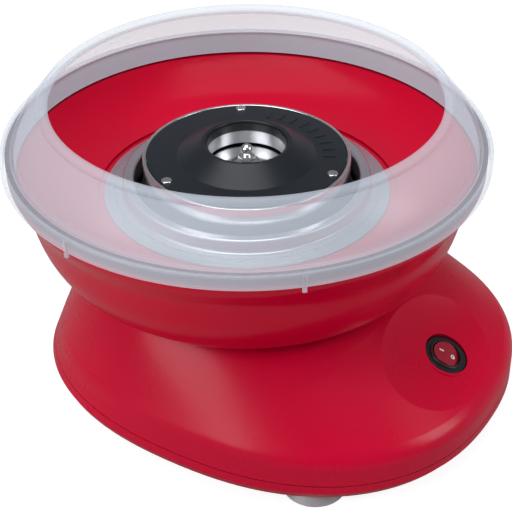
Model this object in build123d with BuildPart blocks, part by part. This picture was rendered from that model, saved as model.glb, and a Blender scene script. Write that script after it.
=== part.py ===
from build123d import *
import math
import os

os.makedirs("parts", exist_ok=True)

# Table-top cotton candy machine, in millimetres. The machine stands on Z = 0, its switch faces -Y
# and X = 0 is its plane of symmetry. Every turned piece shares the vertical spindle.

# ---- Driving dimensions -----------------------------------------------------------------------

# Levels above the table
underside_level = 9.0
widest_level = 14.0
parting_level = 18.5
shoulder_level = 33.0
deck_level = 72.0
neck_level = 76.0
bowl_floor_level = 112.0
bowl_rim_level = 142.4
head_level = 132.0
guard_top_level = 170.0

# Base, measured from the spindle: reach to the front and to the back, and half the width
base_front = 150.0
base_back = 109.0
base_half_width = 112.0
underside_inset = 3.5
shoulder_back = 101.0
shoulder_round = 12.0
shoulder_half_width = 109.0
deck_radius = 87.0
neck_radius = 83.5
base_wall = 2.5
base_fullness = 2.3
taper_power = 0.9
parting_gap = 0.4
tower_radius = 57.0
tower_level = 99.0
vent_width = 2.6
vent_length = 26.0
vent_count = 9

# Bowl
bowl_rim_radius = 125.2
bowl_foot_radius = 88.5
bowl_wall = 2.5
bowl_foot_level = 74.6
bowl_hole_radius = 61.5
bowl_ledge_level = 130.5
bowl_ledge_radius = 119.5
bowl_flange_radius = 76.0
bowl_seat_radius = 79.7
bowl_seat_depth = 1.2
key_count = 3
key_width = 8.0

# Heat ring that lines the hole of the bowl
ring_flange_radius = 76.2
ring_wall_radius = 66.0
ring_throat_radius = 59.9
ring_sheet = 1.0
ring_lip_level = 120.7

# Splash guard
guard_radius = 128.0
guard_wall = 1.6
guard_skirt_level = 136.0
guard_collar_level = 131.8
guard_mouth_radius = 103.9
guard_bead_radius = 2.8
guard_bulge = 2.6
tab_width = 2.0
tab_depth = 0.6
tab_half_angle = 26.4
tab_turn = -163.0

# Spinning head
head_radius = 55.0
head_skirt_level = 110.0
head_sheet = 1.2
head_lip = 1.9
slot_gap = 0.4
cover_sheet = 2.0
cone_foot_radius = 36.8
cone_top_radius = 23.7
cone_height = 7.6
mouth_radius = 21.6
well_sheet = 0.8
well_level = 126.6
dish_floor_level = 125.4
rivet_circle = 49.2
rivet_head_radius = 2.8
rivet_shank_radius = 1.5
rivet_turn = 35.5
rivet_count = 3
hub_radius = 9.0
hub_level = 112.5
ball_radius = 3.3
nut_across_flats = 8.0
nut_height = 3.2

# Motor and drive
shaft_radius = 3.0
running_fit = 0.05
shaft_bottom_level = 20.0
shaft_top_level = 121.5
rotor_radius = 14.0
air_gap = 0.5
stack_level = 50.0
stack_height = 22.0
stack_width = 62.0
stack_depth = 50.0
yoke_reach = 52.0
yoke_sheet = 8.0
limb_width = 16.0
coil_length = 15.0
coil_build = 7.0
bracket_leg = 5.0
bracket_sheet = 3.0
bush_radius = 7.0
bush_length = 7.0
motor_screw_spread_x = 25.0
motor_screw_spread_y = 19.0
motor_screw_radius = 1.6
fan_radius = 32.0
fan_level = 22.0
fan_height = 9.0
fan_blades = 7

# Heater
tray_radius = 58.2
tray_sheet = 1.2
tray_level = 100.6
tray_rim_level = 109.0
heater_circle = 40.0
heater_tube_radius = 3.3
heater_level = 115.5
post_radius = 3.2
post_count = 3

# Switch
switch_reach = 121.0
switch_shift = 2.2
switch_level = 45.0
switch_tilt = 23.0
switch_turn = 14.0
bezel_radius = 12.1
bezel_height = 2.0
barrel_radius = 10.0
barrel_depth = 19.0
rocker_radius = 7.7
rocker_gap = 0.4
rocker_throw = 17.0
recess_reach = 122.5
recess_shift = -10.5
recess_level = 52.4
recess_tilt = 29.0
recess_depth = 7.5
recess_length = 37.0
recess_breadth = 69.0
recess_bowl = 15.0
seat_lip_radius = 14.0
collar_radius = 9.3
collar_height = 0.9
well_depth = 14.0
rocker_crest = 2.5
rocker_keel = 5.0
trunnion_radius = 1.2
trunnion_reach = 8.7
mark_size = 2.6
mark_reach = 3.5
rocker_sink = 1.2
mark_height = 0.2

# Head details
stud_radius = 2.0
washer_height = 0.8
ball_level = 134.4
drive_pin_radius = 1.0
tick_circle = 43.5
tick_count = 9
tick_start = -63.0
tick_arc = 78.0
tick_length = 7.0
tick_width = 1.5
tick_height = 0.4

# Heater details
cutout_reach = 26.0
cutout_width = 8.0
cutout_length = 16.0
cutout_height = 5.0

# Bowl and guard details
dish_sag = 3.2
ring_corner = 1.6
tab_drop = 2.6
tab_thick = 1.4

# Feet, fasteners and cord inlet
foot_radius = 16.5
foot_x = 77.0
foot_front = -87.0
foot_back = 52.0
foot_stem_radius = 4.0
screw_radius = 1.5
screw_head_radius = 3.1
screw_post_radius = 4.5
gland_radius = 6.5
gland_bore_radius = 3.4
gland_level = 27.0
screw_head_height = 2.2
screw_bite = 12.0
fit = 0.15

# Smaller sizes
key_length = 4.0
shaft_hole_radius = 8.0
grommet_top_level = 83.5
pin_half_angle = 9.0
pin_hole_radius = 4.0
pin_radius = 2.0
tray_screw_circle = 52.0
insulator_radius = 4.0
block_reach = 78.0
block_length = 30.0
block_width = 11.0
block_height = 13.0
block_pitch = 9.0
block_screw_radius = 2.2

# ---- Frame shared by every piece --------------------------------------------------------------

# The spindle stands so that the footprint, base in front and guard behind, is centred on Y = 0.
spindle_y = (base_front - guard_radius) / 2
spindle = Axis((0, spindle_y, 0), (0, 0, 1))
turning_plane = Plane.XZ.offset(-spindle_y)

rim_inner_radius = bowl_rim_radius - bowl_wall


def level(height):
    """Horizontal plane centred on the spindle at a height above the table."""
    return Plane((0, spindle_y, height))


def turned(points):
    """Solid of revolution about the spindle from a closed (radius, height) outline."""
    with BuildPart() as solid:
        with BuildSketch(turning_plane):
            with BuildLine():
                Polyline(*points, close=True)
            make_face()
        revolve(axis=spindle)
    return solid.part


def oval(height, front, back, half_width, fullness):
    """Closed oval face about the spindle, a little fuller than an ellipse."""
    middle = (back - front) / 2
    reach = (back + front) / 2
    points = []
    for step in range(24):
        turn = 2 * math.pi * step / 24
        across = math.copysign(abs(math.cos(turn)) ** (2 / fullness), math.cos(turn))
        along = math.copysign(abs(math.sin(turn)) ** (2 / fullness), math.sin(turn))
        points.append((half_width * across, middle + reach * along))
    with BuildSketch(level(height)) as section:
        with BuildLine():
            Spline(*points, periodic=True)
        make_face()
    return section.sketch


def skirt_oval(height, inset):
    """Base outline between the widest level and the shoulder, drawn in by an inset."""
    share = (height - widest_level) / (shoulder_level - widest_level)
    back = base_back + (shoulder_back - base_back) * share - inset
    half_width = base_half_width + (shoulder_half_width - base_half_width) * share - inset
    return oval(height, base_front - inset, back, half_width, base_fullness)


def hood_oval(share, inset, roof):
    """Base outline between the shoulder, at share 1, and the round deck, at share 0."""
    swell = share**taper_power
    height = shoulder_level + (deck_level - roof - shoulder_level) * (1 - share)
    front = deck_radius + (base_front - deck_radius) * swell - inset
    back = deck_radius + (shoulder_back - deck_radius) * swell - inset
    half_width = deck_radius + (shoulder_half_width - deck_radius) * swell - inset
    return oval(height, front, back, half_width, 2 + (base_fullness - 2) * share)


def shell_ovals(foot_level, inset, roof):
    """Outlines of the band, of the shoulder that is rounded in front, and of the hood."""
    front_lean = math.atan2(base_front - deck_radius, deck_level - shoulder_level)
    tangent = shoulder_round * math.tan(front_lean / 2)
    cut = shoulder_round / math.cos(front_lean / 2) - shoulder_round
    round_level = shoulder_level - cut * math.sin(front_lean / 2)
    share = (round_level - widest_level) / (shoulder_level - widest_level)
    round_front = base_front - cut * math.cos(front_lean / 2) - inset
    round_back = base_back + (shoulder_back - base_back) * share - inset
    round_half = base_half_width + (shoulder_half_width - base_half_width) * share - inset
    hood_share = 1 - tangent * math.cos(front_lean) / (deck_level - shoulder_level)
    band = [skirt_oval(foot_level, inset), skirt_oval(shoulder_level - tangent, inset)]
    rounded = oval(round_level, round_front, round_back, round_half, base_fullness)
    hood = [hood_oval(hood_share * step / 3, inset, roof) for step in (3, 2, 1, 0)]
    return band, [band[1], rounded, hood[0]], hood


# Places of the fasteners and feet, as offsets from the spindle
post_places = [(38, -124), (-38, -124), (96, -34), (-96, -34), (58, 74), (-58, 74)]
foot_places = [(foot_x, foot_front), (-foot_x, foot_front), (60, foot_back), (-60, foot_back)]
motor_screw_places = [
    (motor_screw_spread_x, motor_screw_spread_y),
    (-motor_screw_spread_x, motor_screw_spread_y),
    (motor_screw_spread_x, -motor_screw_spread_y),
    (-motor_screw_spread_x, -motor_screw_spread_y),
]

# Frame of the switch: its normal leans towards the user
lean = math.radians(switch_tilt)
swing = math.radians(switch_turn)
switch_across = Vector(
    math.cos(swing), math.sin(swing) * math.cos(lean), math.sin(swing) * math.sin(lean)
)
switch_normal = Vector(0, -math.sin(lean), math.cos(lean))
switch_centre = Vector(switch_shift, spindle_y - switch_reach, switch_level)
switch_plane = Plane(switch_centre, x_dir=switch_across, z_dir=switch_normal)

# Frame of the dished recess round the switch
recess_lean = math.radians(recess_tilt)
recess_normal = Vector(0, -math.sin(recess_lean), math.cos(recess_lean))
recess_centre = Vector(recess_shift, spindle_y - recess_reach, recess_level)
recess_plane = Plane(recess_centre, x_dir=(1, 0, 0), z_dir=recess_normal)


def tipped(plane, degrees):
    """Plane turned about its own X axis."""
    turn = math.radians(degrees)
    normal = plane.z_dir * math.cos(turn) - plane.y_dir * math.sin(turn)
    return Plane(plane.origin, x_dir=plane.x_dir, z_dir=normal)


# Frame of the rocker: it turns about its trunnions, and rests tipped by half of its throw
rocker_slope = math.tan(math.radians(rocker_throw / 2))
rocker_pivot = switch_plane.offset(-rocker_sink)
rocker_plane = tipped(rocker_pivot, rocker_throw / 2)
rocker_axle_location = Plane(
    rocker_pivot.origin, x_dir=rocker_pivot.y_dir, z_dir=rocker_pivot.x_dir
).location
crest_plane = rocker_plane.offset(rocker_crest)
on_face_plane = Plane(
    crest_plane.from_local_coords((0, mark_reach, -mark_reach * rocker_slope)),
    x_dir=rocker_plane.x_dir,
    z_dir=tipped(rocker_plane, -rocker_throw / 2).z_dir,
)
off_face_plane = Plane(
    crest_plane.from_local_coords((0, -mark_reach, -mark_reach * rocker_slope)),
    x_dir=rocker_plane.x_dir,
    z_dir=tipped(rocker_plane, rocker_throw / 2).z_dir,
)

# Frame of the cord gland, square to the sloping back of the band, and of the terminal block
gland_share = (gland_level - widest_level) / (shoulder_level - widest_level)
gland_reach = base_back + (shoulder_back - base_back) * gland_share
gland_normal = Vector(0, shoulder_level - widest_level, base_back - shoulder_back)
gland_plane = Plane((0, spindle_y + gland_reach, gland_level), x_dir=(1, 0, 0), z_dir=gland_normal)
block_plane = Plane((0, spindle_y + block_reach, underside_level + base_wall))

# Lens that hollows the recess, and the same lens grown by the wall for the underside
recess_lift = recess_plane.offset(recess_bowl - recess_depth)
recess_lens = recess_lift.location * scale(Sphere(1), by=(recess_breadth, recess_length, recess_bowl))
recess_back = recess_lift.location * scale(
    Sphere(1),
    by=(recess_breadth + base_wall, recess_length + base_wall, recess_bowl + base_wall),
)

# ---- Upper housing ----------------------------------------------------------------------------

# Outer form of the upper housing: an upright band that rolls over into a hood up to the deck
with BuildPart() as housing_form:
    for sections in shell_ovals(parting_level + parting_gap, 0, 0):
        loft(sections, ruled=len(sections) == 2)
    with BuildSketch(level(deck_level)):
        Circle(neck_radius)
    extrude(amount=neck_level - deck_level)
    with BuildSketch(level(neck_level)):
        Circle(tower_radius)
    extrude(amount=tower_level - neck_level)
    add(recess_lens, mode=Mode.SUBTRACT)

# Cavity of the upper housing; what is cut away from it stays as posts and seats in the shell
with BuildPart() as housing_cavity:
    for sections in shell_ovals(parting_level, base_wall, base_wall):
        loft(sections, ruled=len(sections) == 2)
    with BuildSketch(level(deck_level - base_wall)):
        Circle(neck_radius - base_wall)
    extrude(amount=neck_level - deck_level)
    with BuildSketch(level(deck_level - base_wall)):
        Circle(tower_radius - base_wall)
    extrude(amount=tower_level - deck_level)
    add(recess_back, mode=Mode.SUBTRACT)
    with BuildSketch(level(parting_level)):
        with Locations(*post_places):
            Circle(screw_post_radius)
    extrude(amount=deck_level, mode=Mode.SUBTRACT)
    with BuildSketch(level(tower_level)):
        with Locations(*motor_screw_places):
            Circle(screw_post_radius)
    extrude(amount=grommet_top_level - tower_level, mode=Mode.SUBTRACT)

with BuildPart() as upper_housing:
    add(housing_form.part)
    add(housing_cavity.part, mode=Mode.SUBTRACT)
    # Raised lip that frames the switch, and the round hole for its barrel
    with BuildSketch(switch_plane.offset(-bezel_height - 4)):
        Circle(seat_lip_radius)
    extrude(amount=bezel_height + 4)
    with BuildSketch(switch_plane.offset(-bezel_height)):
        Circle(bezel_radius + fit)
    extrude(amount=4 * bezel_height, mode=Mode.SUBTRACT)
    with BuildSketch(switch_plane):
        Circle(barrel_radius + fit)
    extrude(amount=-barrel_depth, mode=Mode.SUBTRACT)
    # Keys that stop the bowl from turning
    with BuildSketch(level(neck_level)):
        with PolarLocations((bowl_flange_radius + neck_radius) / 2 - 1, key_count, start_angle=90):
            Rectangle(key_length, key_width)
    extrude(amount=bowl_wall)
    # Shaft hole, motor and heater holes in the top of the tower
    with BuildSketch(level(tower_level)):
        Circle(shaft_hole_radius)
        with PolarLocations(heater_circle, 2, -pin_half_angle, 4 * pin_half_angle):
            Circle(pin_hole_radius)
        with PolarLocations(tray_screw_circle, post_count, start_angle=30):
            Circle(screw_radius)
    extrude(amount=-2 * base_wall, mode=Mode.SUBTRACT)
    with BuildSketch(level(grommet_top_level)):
        with Locations(*motor_screw_places):
            Circle(motor_screw_radius)
    extrude(amount=tower_level - base_wall - grommet_top_level, mode=Mode.SUBTRACT)
    # Blind holes for the screws that hold the lower housing
    with BuildSketch(level(parting_level)):
        with Locations(*post_places):
            Circle(screw_radius)
    extrude(amount=screw_bite, mode=Mode.SUBTRACT)
    # Hole for the cord gland
    with BuildSketch(gland_plane):
        Circle(gland_radius)
    extrude(amount=3 * base_wall, both=True, mode=Mode.SUBTRACT)

upper_housing.part.label = "upper_housing"
export_step(upper_housing.part, "parts/upper_housing.step")

# ---- Lower housing ----------------------------------------------------------------------------

with BuildPart() as lower_housing:
    widest_oval = skirt_oval(widest_level, 0)
    underside_oval = skirt_oval(underside_level, underside_inset)
    loft([underside_oval, widest_oval, skirt_oval(parting_level, 0)], ruled=True)
    floor_oval = skirt_oval(underside_level + base_wall, underside_inset)
    inner_oval = skirt_oval(widest_level, base_wall)
    tray_top = skirt_oval(parting_level, base_wall)
    loft([floor_oval, inner_oval, tray_top], ruled=True, mode=Mode.SUBTRACT)
    # Screw posts and foot sockets
    with BuildSketch(level(underside_level + base_wall)):
        with Locations(*post_places):
            Circle(screw_post_radius)
        with Locations(*foot_places):
            Circle(foot_stem_radius + 2 * base_wall)
    extrude(amount=parting_level - underside_level - base_wall)
    with BuildSketch(level(underside_level)):
        with Locations(*post_places):
            Circle(screw_radius + fit)
        with Locations(*foot_places):
            Circle(foot_stem_radius)
    extrude(amount=parting_level - underside_level, mode=Mode.SUBTRACT)
    with BuildSketch(level(underside_level)):
        with Locations(*post_places):
            Circle(screw_head_radius + fit)
    extrude(amount=screw_head_height, mode=Mode.SUBTRACT)
    # Cooling slots under the fan
    with BuildSketch(level(underside_level)):
        with GridLocations(2.5 * vent_width, 0, vent_count, 1):
            SlotOverall(vent_length, vent_width, rotation=90)
    extrude(amount=2 * base_wall, mode=Mode.SUBTRACT)

lower_housing.part.label = "lower_housing"
export_step(lower_housing.part, "parts/lower_housing.step")

# ---- Feet and housing screws ------------------------------------------------------------------

foot_outline = [
    (0, underside_level - 4.5),
    (foot_radius - 8.5, underside_level - 5.5),
    (foot_radius - 1.5, 0),
    (foot_radius, 0),
    (foot_radius - 2.0, 3.0),
    (foot_radius - 5.5, underside_level - 1.5),
    (foot_radius - 6.5, underside_level),
    (foot_stem_radius, underside_level),
    (foot_stem_radius, parting_level - 1.0),
    (0, parting_level - 1.0),
]

with BuildPart() as suction_feet:
    for foot_at_x, foot_at_y in foot_places:
        foot_axis = Axis((foot_at_x, spindle_y + foot_at_y, 0), (0, 0, 1))
        with BuildSketch(Plane(foot_axis.position, x_dir=(1, 0, 0), z_dir=(0, -1, 0))):
            with BuildLine():
                Polyline(*foot_outline, close=True)
            make_face()
        revolve(axis=foot_axis)

suction_feet.part.label = "suction_feet"
export_step(suction_feet.part, "parts/suction_feet.step")

with BuildPart() as housing_screws:
    with BuildSketch(level(underside_level + 0.4)):
        with Locations(*post_places):
            Circle(screw_head_radius)
    extrude(amount=screw_head_height - 0.4)
    with BuildSketch(level(underside_level + screw_head_height)):
        with Locations(*post_places):
            Circle(screw_radius)
    extrude(amount=parting_level + screw_bite - underside_level - screw_head_height)
    with BuildSketch(level(underside_level + 0.4)):
        with Locations(*post_places):
            Rectangle(0.8, 1.3 * screw_head_radius)
            Rectangle(1.3 * screw_head_radius, 0.8)
    extrude(amount=0.9, mode=Mode.SUBTRACT)

housing_screws.part.label = "housing_screws"
export_step(housing_screws.part, "parts/housing_screws.step")

# ---- Cord gland and terminal block ------------------------------------------------------------

with BuildPart() as cord_gland:
    with BuildSketch(gland_plane.offset(fit)):
        Circle(gland_radius + 2.2)
    extrude(amount=2.4)
    fillet(cord_gland.edges().group_by(SortBy.LENGTH)[-1], radius=0.8)
    with BuildSketch(gland_plane.offset(fit)):
        Circle(gland_radius - fit)
    extrude(amount=-4 * base_wall)
    # Snap ridge behind the wall
    with BuildSketch(gland_plane.offset(-base_wall - 1.5)):
        Circle(gland_radius + 0.8)
    extrude(amount=-1.4)
    with BuildSketch(gland_plane.offset(4)):
        Circle(gland_bore_radius)
    extrude(amount=-6 * base_wall, mode=Mode.SUBTRACT)

cord_gland.part.label = "cord_gland"
export_step(cord_gland.part, "parts/cord_gland.step")

with BuildPart() as terminal_block:
    with BuildSketch(block_plane):
        Rectangle(block_length, block_width)
    extrude(amount=block_height)
    chamfer(terminal_block.edges().group_by(Axis.Z)[-1], length=0.8)
    with BuildSketch(block_plane.offset(block_height)):
        with GridLocations(block_pitch, 0, 3, 1):
            Circle(block_screw_radius + fit)
    extrude(amount=-block_height / 2, mode=Mode.SUBTRACT)
    with BuildSketch(Plane.XZ.offset(-(spindle_y + block_reach))):
        with Locations((0, underside_level + base_wall + block_height / 3)):
            with GridLocations(block_pitch, 0, 3, 1):
                Circle(1.5)
    extrude(amount=block_width, both=True, mode=Mode.SUBTRACT)

terminal_block.part.label = "terminal_block"
export_step(terminal_block.part, "parts/terminal_block.step")

with BuildPart() as terminal_screws:
    with BuildSketch(block_plane.offset(block_height - 1)):
        with GridLocations(block_pitch, 0, 3, 1):
            Circle(block_screw_radius)
    extrude(amount=-block_height / 3)

terminal_screws.part.label = "terminal_screws"
export_step(terminal_screws.part, "parts/terminal_screws.step")

# ---- Switch -----------------------------------------------------------------------------------

with BuildPart() as switch_body:
    with BuildSketch(switch_plane.offset(-bezel_height)):
        Circle(bezel_radius)
    extrude(amount=bezel_height)
    chamfer(switch_body.edges().filter_by(GeomType.CIRCLE).sort_by(Axis.Z)[-1], length=0.8)
    with BuildSketch(switch_plane):
        Circle(collar_radius)
    extrude(amount=collar_height)
    fillet(switch_body.edges().filter_by(GeomType.CIRCLE).sort_by(Axis.Z)[-1], radius=0.4)
    with BuildSketch(switch_plane.offset(-bezel_height)):
        Circle(barrel_radius)
    extrude(amount=-barrel_depth)
    # Well for the rocker, with sockets for its two trunnions
    with BuildSketch(switch_plane.offset(collar_height)):
        Circle(rocker_radius + rocker_gap)
    extrude(amount=-well_depth, mode=Mode.SUBTRACT)
    with Locations(rocker_axle_location):
        Cylinder(trunnion_radius + running_fit, 2 * trunnion_reach, mode=Mode.SUBTRACT)

switch_body.part.label = "switch_body"
export_step(switch_body.part, "parts/switch_body.step")

with BuildPart() as switch_terminals:
    with BuildSketch(switch_plane.offset(-bezel_height - barrel_depth)):
        with GridLocations(0, 6, 1, 2):
            Rectangle(4.8, 0.8)
    extrude(amount=-8)

switch_terminals.part.label = "switch_terminals"
export_step(switch_terminals.part, "parts/switch_terminals.step")

# Rocker: a ball-sided button with a shallow ridge across the middle, tipped to its off side
with BuildPart() as rocker:
    with Locations(rocker_plane.location):
        Sphere(rocker_radius)
    with BuildSketch(Plane(rocker_plane.origin, x_dir=rocker_plane.y_dir, z_dir=rocker_plane.x_dir)):
        with BuildLine():
            Polyline(
                (0, rocker_crest),
                (2 * rocker_radius, rocker_crest - 2 * rocker_radius * rocker_slope),
                (2 * rocker_radius, 2 * rocker_radius),
                (-2 * rocker_radius, 2 * rocker_radius),
                (-2 * rocker_radius, rocker_crest - 2 * rocker_radius * rocker_slope),
                close=True,
            )
        make_face()
    extrude(amount=2 * rocker_radius, both=True, mode=Mode.SUBTRACT)
    with BuildSketch(rocker_plane.offset(-rocker_keel)):
        Circle(2 * rocker_radius)
    extrude(amount=-2 * rocker_radius, mode=Mode.SUBTRACT)
    with Locations(rocker_axle_location):
        Cylinder(trunnion_radius, 2 * trunnion_reach - 2 * fit)

rocker.part.label = "rocker"
export_step(rocker.part, "parts/rocker.step")

with BuildPart() as rocker_marks:
    # On mark: a bar; off mark: a ring
    with BuildSketch(on_face_plane):
        Rectangle(0.8, mark_size)
    extrude(amount=mark_height)
    with BuildSketch(off_face_plane):
        Circle(mark_size / 2)
        Circle(mark_size / 2 - 0.7, mode=Mode.SUBTRACT)
    extrude(amount=mark_height)

rocker_marks.part.label = "rocker_marks"
export_step(rocker_marks.part, "parts/rocker_marks.step")

# ---- Motor ------------------------------------------------------------------------------------

stack_top_level = stack_level + stack_height
bracket_level = stack_top_level + bracket_leg
lower_bracket_level = stack_level - bracket_leg - bracket_sheet

with BuildPart() as motor_stator:
    with BuildSketch(level(stack_level)):
        Rectangle(stack_width, stack_depth)
        with Locations((0, yoke_reach - yoke_sheet / 2)):
            Rectangle(stack_width, yoke_sheet)
        with Locations((0, (stack_depth / 2 + yoke_reach) / 2)):
            Rectangle(limb_width, yoke_reach - stack_depth / 2)
            with GridLocations(stack_width - yoke_sheet, 0, 2, 1):
                Rectangle(yoke_sheet, yoke_reach - stack_depth / 2)
        Circle(rotor_radius + air_gap, mode=Mode.SUBTRACT)
        with Locations(*motor_screw_places):
            Circle(motor_screw_radius + fit, mode=Mode.SUBTRACT)
    extrude(amount=stack_height)

motor_stator.part.label = "motor_stator"
export_step(motor_stator.part, "parts/motor_stator.step")

coil_middle = (stack_depth / 2 + yoke_reach - yoke_sheet) / 2

with BuildPart() as motor_coil:
    with BuildSketch(Plane.XZ.offset(-(spindle_y + coil_middle - coil_length / 2))):
        with Locations((0, stack_level + stack_height / 2)):
            RectangleRounded(
                limb_width + 2 * coil_build, stack_height + 2 * coil_build, coil_build - 1
            )
            Rectangle(limb_width + 2 * fit, stack_height + 2 * fit, mode=Mode.SUBTRACT)
    extrude(amount=-coil_length)

motor_coil.part.label = "motor_coil"
export_step(motor_coil.part, "parts/motor_coil.step")


def motor_bracket(plate_level, legs_level, boss_level):
    """Bearing bracket: a plate with four legs to the stack and a boss round the bush."""
    with BuildPart() as bracket:
        with BuildSketch(level(plate_level)):
            RectangleRounded(stack_width, stack_depth, 6)
        extrude(amount=bracket_sheet)
        with BuildSketch(level(legs_level)):
            with Locations(*motor_screw_places):
                Circle(motor_screw_radius + 2)
        extrude(amount=bracket_leg + bracket_sheet)
        with BuildSketch(level(boss_level)):
            Circle(bush_radius + 3)
        extrude(amount=bush_length)
        with BuildSketch(level(boss_level)):
            Circle(bush_radius)
        extrude(amount=bush_length, mode=Mode.SUBTRACT)
        with BuildSketch(level(legs_level)):
            with Locations(*motor_screw_places):
                Circle(motor_screw_radius + fit)
        extrude(amount=bracket_leg + bracket_sheet, mode=Mode.SUBTRACT)
    return bracket.part


upper_boss_level = bracket_level - 1
lower_boss_level = lower_bracket_level - 1

with BuildPart() as motor_top_bracket:
    add(motor_bracket(bracket_level, stack_top_level, upper_boss_level))

motor_top_bracket.part.label = "motor_top_bracket"
export_step(motor_top_bracket.part, "parts/motor_top_bracket.step")

with BuildPart() as motor_bottom_bracket:
    add(motor_bracket(lower_bracket_level, lower_bracket_level, lower_boss_level))

motor_bottom_bracket.part.label = "motor_bottom_bracket"
export_step(motor_bottom_bracket.part, "parts/motor_bottom_bracket.step")

with BuildPart() as motor_bushes:
    for boss_level in (upper_boss_level, lower_boss_level):
        with BuildSketch(level(boss_level)):
            Circle(bush_radius)
            Circle(shaft_radius + running_fit, mode=Mode.SUBTRACT)
        extrude(amount=bush_length)

motor_bushes.part.label = "motor_bushes"
export_step(motor_bushes.part, "parts/motor_bushes.step")

grommet_level = bracket_level + bracket_sheet

with BuildPart() as motor_grommets:
    with BuildSketch(level(grommet_level)):
        with Locations(*motor_screw_places):
            Circle(screw_post_radius + 0.5)
    extrude(amount=grommet_top_level - grommet_level)
    with BuildSketch(level(grommet_level)):
        with Locations(*motor_screw_places):
            Circle(motor_screw_radius + fit)
    extrude(amount=grommet_top_level - grommet_level, mode=Mode.SUBTRACT)

motor_grommets.part.label = "motor_grommets"
export_step(motor_grommets.part, "parts/motor_grommets.step")

with BuildPart() as motor_screws:
    with BuildSketch(level(lower_bracket_level - screw_head_height)):
        with Locations(*motor_screw_places):
            Circle(screw_head_radius)
    extrude(amount=screw_head_height)
    with BuildSketch(level(lower_bracket_level)):
        with Locations(*motor_screw_places):
            Circle(motor_screw_radius)
    extrude(amount=tower_level - 2 * base_wall - lower_bracket_level)

motor_screws.part.label = "motor_screws"
export_step(motor_screws.part, "parts/motor_screws.step")

# ---- Drive: everything that turns with the motor ----------------------------------------------

drive_pin_level = hub_level + 2.2

with BuildPart() as motor_shaft:
    with BuildSketch(level(shaft_bottom_level)):
        Circle(shaft_radius)
    extrude(amount=shaft_top_level - shaft_bottom_level)
    chamfer(motor_shaft.edges().group_by(Axis.Z)[-1], length=0.6)
    with Locations(Plane((0, spindle_y, drive_pin_level), z_dir=(1, 0, 0)).location):
        Cylinder(drive_pin_radius, 4 * shaft_radius, mode=Mode.SUBTRACT)

motor_shaft.part.label = "motor_shaft"
export_step(motor_shaft.part, "parts/motor_shaft.step")

with BuildPart() as drive_pin:
    with Locations(Plane((0, spindle_y, drive_pin_level), z_dir=(1, 0, 0)).location):
        Cylinder(drive_pin_radius, 2 * (hub_radius - 1))

drive_pin.part.label = "drive_pin"
export_step(drive_pin.part, "parts/drive_pin.step")

with BuildPart() as motor_rotor:
    with BuildSketch(level(stack_level - 1)):
        Circle(rotor_radius)
        Circle(shaft_radius, mode=Mode.SUBTRACT)
    extrude(amount=stack_height + 2)

motor_rotor.part.label = "motor_rotor"
export_step(motor_rotor.part, "parts/motor_rotor.step")

with BuildPart() as cooling_fan:
    with BuildSketch(level(fan_level)):
        Circle(hub_radius)
        with PolarLocations(fan_radius / 2 + 2, fan_blades):
            Rectangle(fan_radius - 4, 1.6)
    extrude(amount=fan_height)
    with BuildSketch(level(fan_level)):
        Circle(fan_radius)
        Circle(shaft_radius, mode=Mode.SUBTRACT)
    extrude(amount=1.6)
    with BuildSketch(level(fan_level)):
        Circle(shaft_radius)
    extrude(amount=fan_height, mode=Mode.SUBTRACT)

cooling_fan.part.label = "cooling_fan"
export_step(cooling_fan.part, "parts/cooling_fan.step")

# ---- Heater -----------------------------------------------------------------------------------

with BuildPart() as tray_insulators:
    with BuildSketch(level(tower_level)):
        with PolarLocations(tray_screw_circle, post_count, start_angle=30):
            Circle(insulator_radius)
            Circle(screw_radius + fit, mode=Mode.SUBTRACT)
    extrude(amount=tray_level - tower_level)

tray_insulators.part.label = "tray_insulators"
export_step(tray_insulators.part, "parts/tray_insulators.step")

with BuildPart() as heater_tray:
    add(
        turned(
            [
                (shaft_hole_radius + 4, tray_level),
                (tray_radius, tray_level),
                (tray_radius, tray_rim_level),
                (tray_radius - tray_sheet, tray_rim_level),
                (tray_radius - tray_sheet, tray_level + tray_sheet),
                (shaft_hole_radius + 4, tray_level + tray_sheet),
            ]
        )
    )
    with BuildSketch(level(tray_level)):
        with PolarLocations(tray_screw_circle, post_count, start_angle=30):
            Circle(screw_radius + fit)
        with PolarLocations(heater_circle, 2, -pin_half_angle, 4 * pin_half_angle):
            Circle(pin_hole_radius)
    extrude(amount=tray_sheet, mode=Mode.SUBTRACT)

heater_tray.part.label = "heater_tray"
export_step(heater_tray.part, "parts/heater_tray.step")

with BuildPart() as tray_screws:
    with BuildSketch(level(tray_level + tray_sheet)):
        with PolarLocations(tray_screw_circle, post_count, start_angle=30):
            Circle(screw_head_radius)
    extrude(amount=screw_head_height)
    with BuildSketch(level(tray_level + tray_sheet)):
        with PolarLocations(tray_screw_circle, post_count, start_angle=30):
            Circle(screw_radius)
    extrude(amount=-(tray_sheet + tray_level - tower_level + 2 * base_wall))

tray_screws.part.label = "tray_screws"
export_step(tray_screws.part, "parts/tray_screws.step")

with BuildPart() as heater_ring:
    with BuildSketch(turning_plane):
        with Locations((heater_circle, heater_level)):
            Circle(heater_tube_radius)
    revolve(axis=spindle)
    with BuildSketch(level(heater_level)):
        with PolarLocations(heater_circle, 2, -pin_half_angle, 4 * pin_half_angle):
            Circle(pin_radius)
    extrude(amount=-(heater_level - tower_level + 3 * base_wall))

heater_ring.part.label = "heater_ring"
export_step(heater_ring.part, "parts/heater_ring.step")

with BuildPart() as heater_posts:
    with BuildSketch(level(tray_level + tray_sheet)):
        with PolarLocations(heater_circle, post_count, start_angle=90):
            Circle(post_radius)
    extrude(amount=heater_level - tray_level - tray_sheet)
    with BuildSketch(turning_plane):
        with Locations((heater_circle, heater_level)):
            Circle(heater_tube_radius + running_fit)
    revolve(axis=spindle, mode=Mode.SUBTRACT)

heater_posts.part.label = "heater_posts"
export_step(heater_posts.part, "parts/heater_posts.step")

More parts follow.
